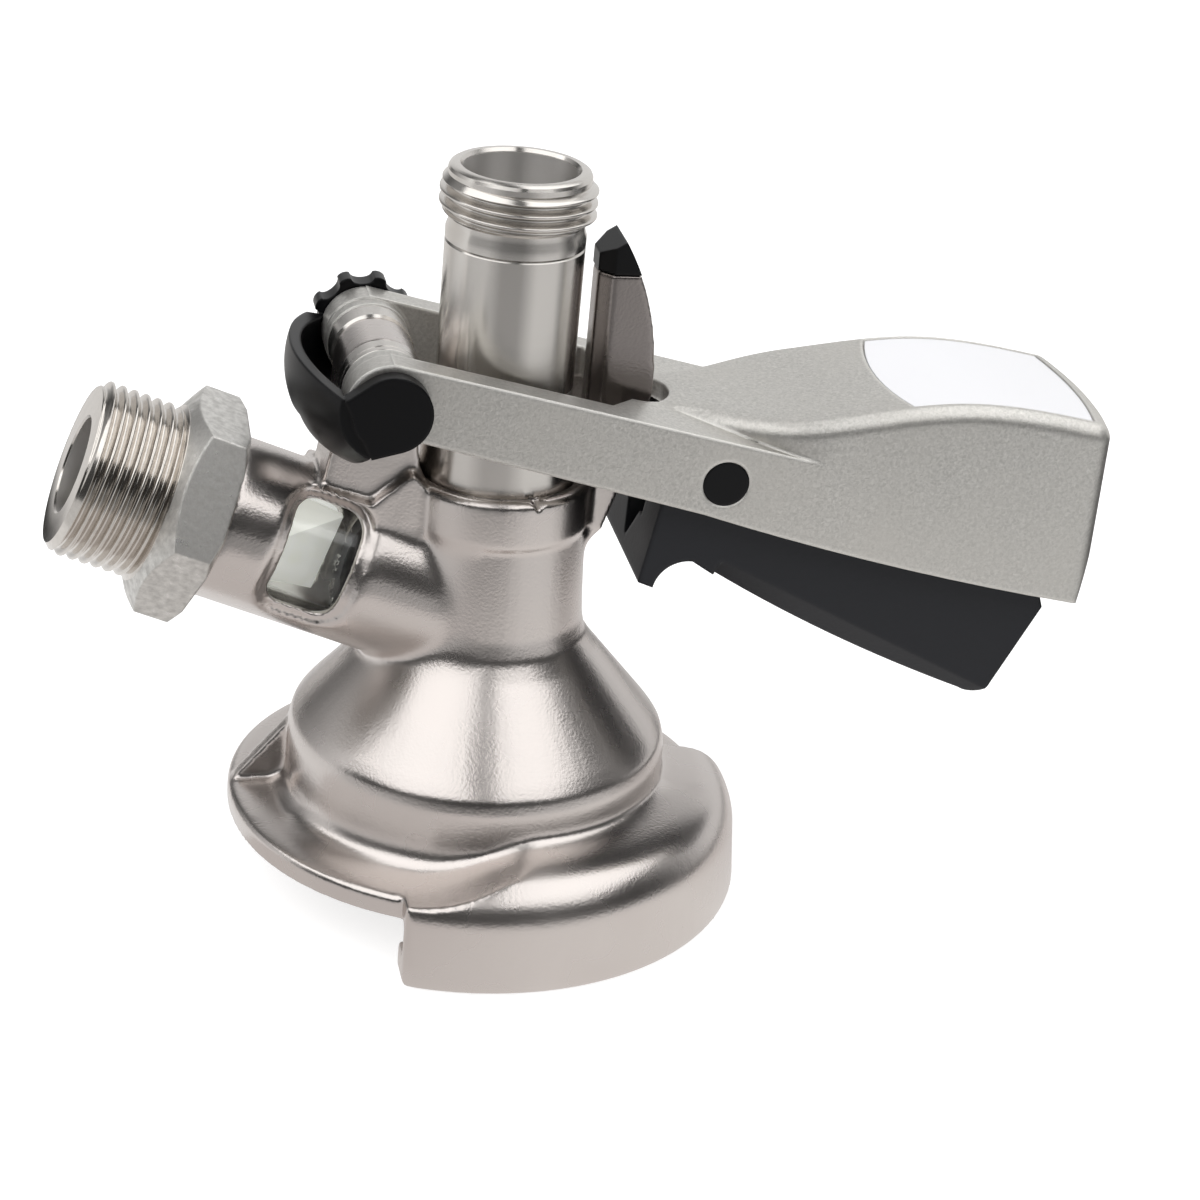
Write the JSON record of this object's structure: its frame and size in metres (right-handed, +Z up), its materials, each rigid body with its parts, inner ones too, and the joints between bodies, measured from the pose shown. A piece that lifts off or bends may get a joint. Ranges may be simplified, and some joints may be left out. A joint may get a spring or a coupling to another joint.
{
  "type": "keg coupler",
  "caption": "Keg coupler: sliding probe in a flanged cast foot, tilted gas arm with sight glass and threaded union, and a squeeze-grip lever on a hinge.",
  "frame": {"origin": "on the probe axis, level with the underside of the foot's claw", "axes": "+Z up the probe axis to the drink outlet, gas arm towards -X, lever handle towards +X"},
  "size_m": [0.1587, 0.0806, 0.1131],
  "materials": {
    "cast_stainless": "investment cast, satin",
    "turned_stainless": "turned, bright",
    "turned_union": "turned thread, rough hexagon",
    "cast_lever": "fine blasted casting",
    "spring_steel": "drawn wire",
    "black_plastic": "moulded, smooth satin",
    "grey_plastic": "moulded, fine texture",
    "white_plastic": "moulded",
    "label_white": "blank coated plate",
    "black_rubber": "moulded",
    "milky_rubber": "moulded silicone, milky",
    "clear_glass": "clear tube"
  },
  "bodies": {
    "body": {"body_casting": "cast_stainless", "base_seal": "black_rubber", "gas_union": "turned_union", "sight_glass": "clear_glass", "sight_glass_seal": "black_rubber", "gas_check_valve": "milky_rubber", "finger_cap": "black_plastic", "hinge_pin": "turned_stainless", "hinge_bushes": "turned_stainless"},
    "clip": {"hinge_clip": "black_plastic"},
    "probe": {"probe_tube": "turned_stainless", "outlet_fitting": "turned_stainless", "ball_stop": "white_plastic", "probe_seal": "black_rubber", "probe_o_ring": "black_rubber"},
    "ball": {"check_ball": "white_plastic"},
    "lever": {"lever": "cast_lever", "label_plate": "label_white", "drive_pins": "turned_stainless", "trigger_pin": "turned_stainless", "trigger_pin_caps": "black_plastic", "trigger_spring": "spring_steel"},
    "trigger": {"trigger": "grey_plastic", "latch_pawl": "turned_stainless"}
  },
  "joints": [
    {"name": "lever_swing", "type": "hinge", "parent": "body", "child": "lever", "pos_m": [-0.019, 0, 0.082], "axis": [0, -1, 0], "range_deg": [0, 30]},
    {"name": "probe_slide", "type": "slide", "parent": "body", "child": "probe", "axis": [0, 0, 1], "range_m": [0, 0.0103]},
    {"name": "trigger_squeeze", "type": "hinge", "parent": "lever", "child": "trigger", "pos_m": [0.031, 0, 0.0708], "axis": [0, -1, 0], "range_deg": [0, 6], "stiffness_Nm_per_rad": 0.6, "springref_deg": -5.73},
    {"name": "clip_turn", "type": "hinge", "parent": "body", "child": "clip", "pos_m": [-0.019, 0, 0.082], "axis": [0, 1, 0], "range_deg": [0, 50]},
    {"name": "ball_lift", "type": "slide", "parent": "probe", "child": "ball", "axis": [0, 0, 1], "range_m": [0, 0.0029]}
  ],
  "couplings": [
    {"joint": "probe_slide", "follows": "lever_swing", "m_per_rad": 0.01955}
  ]
}
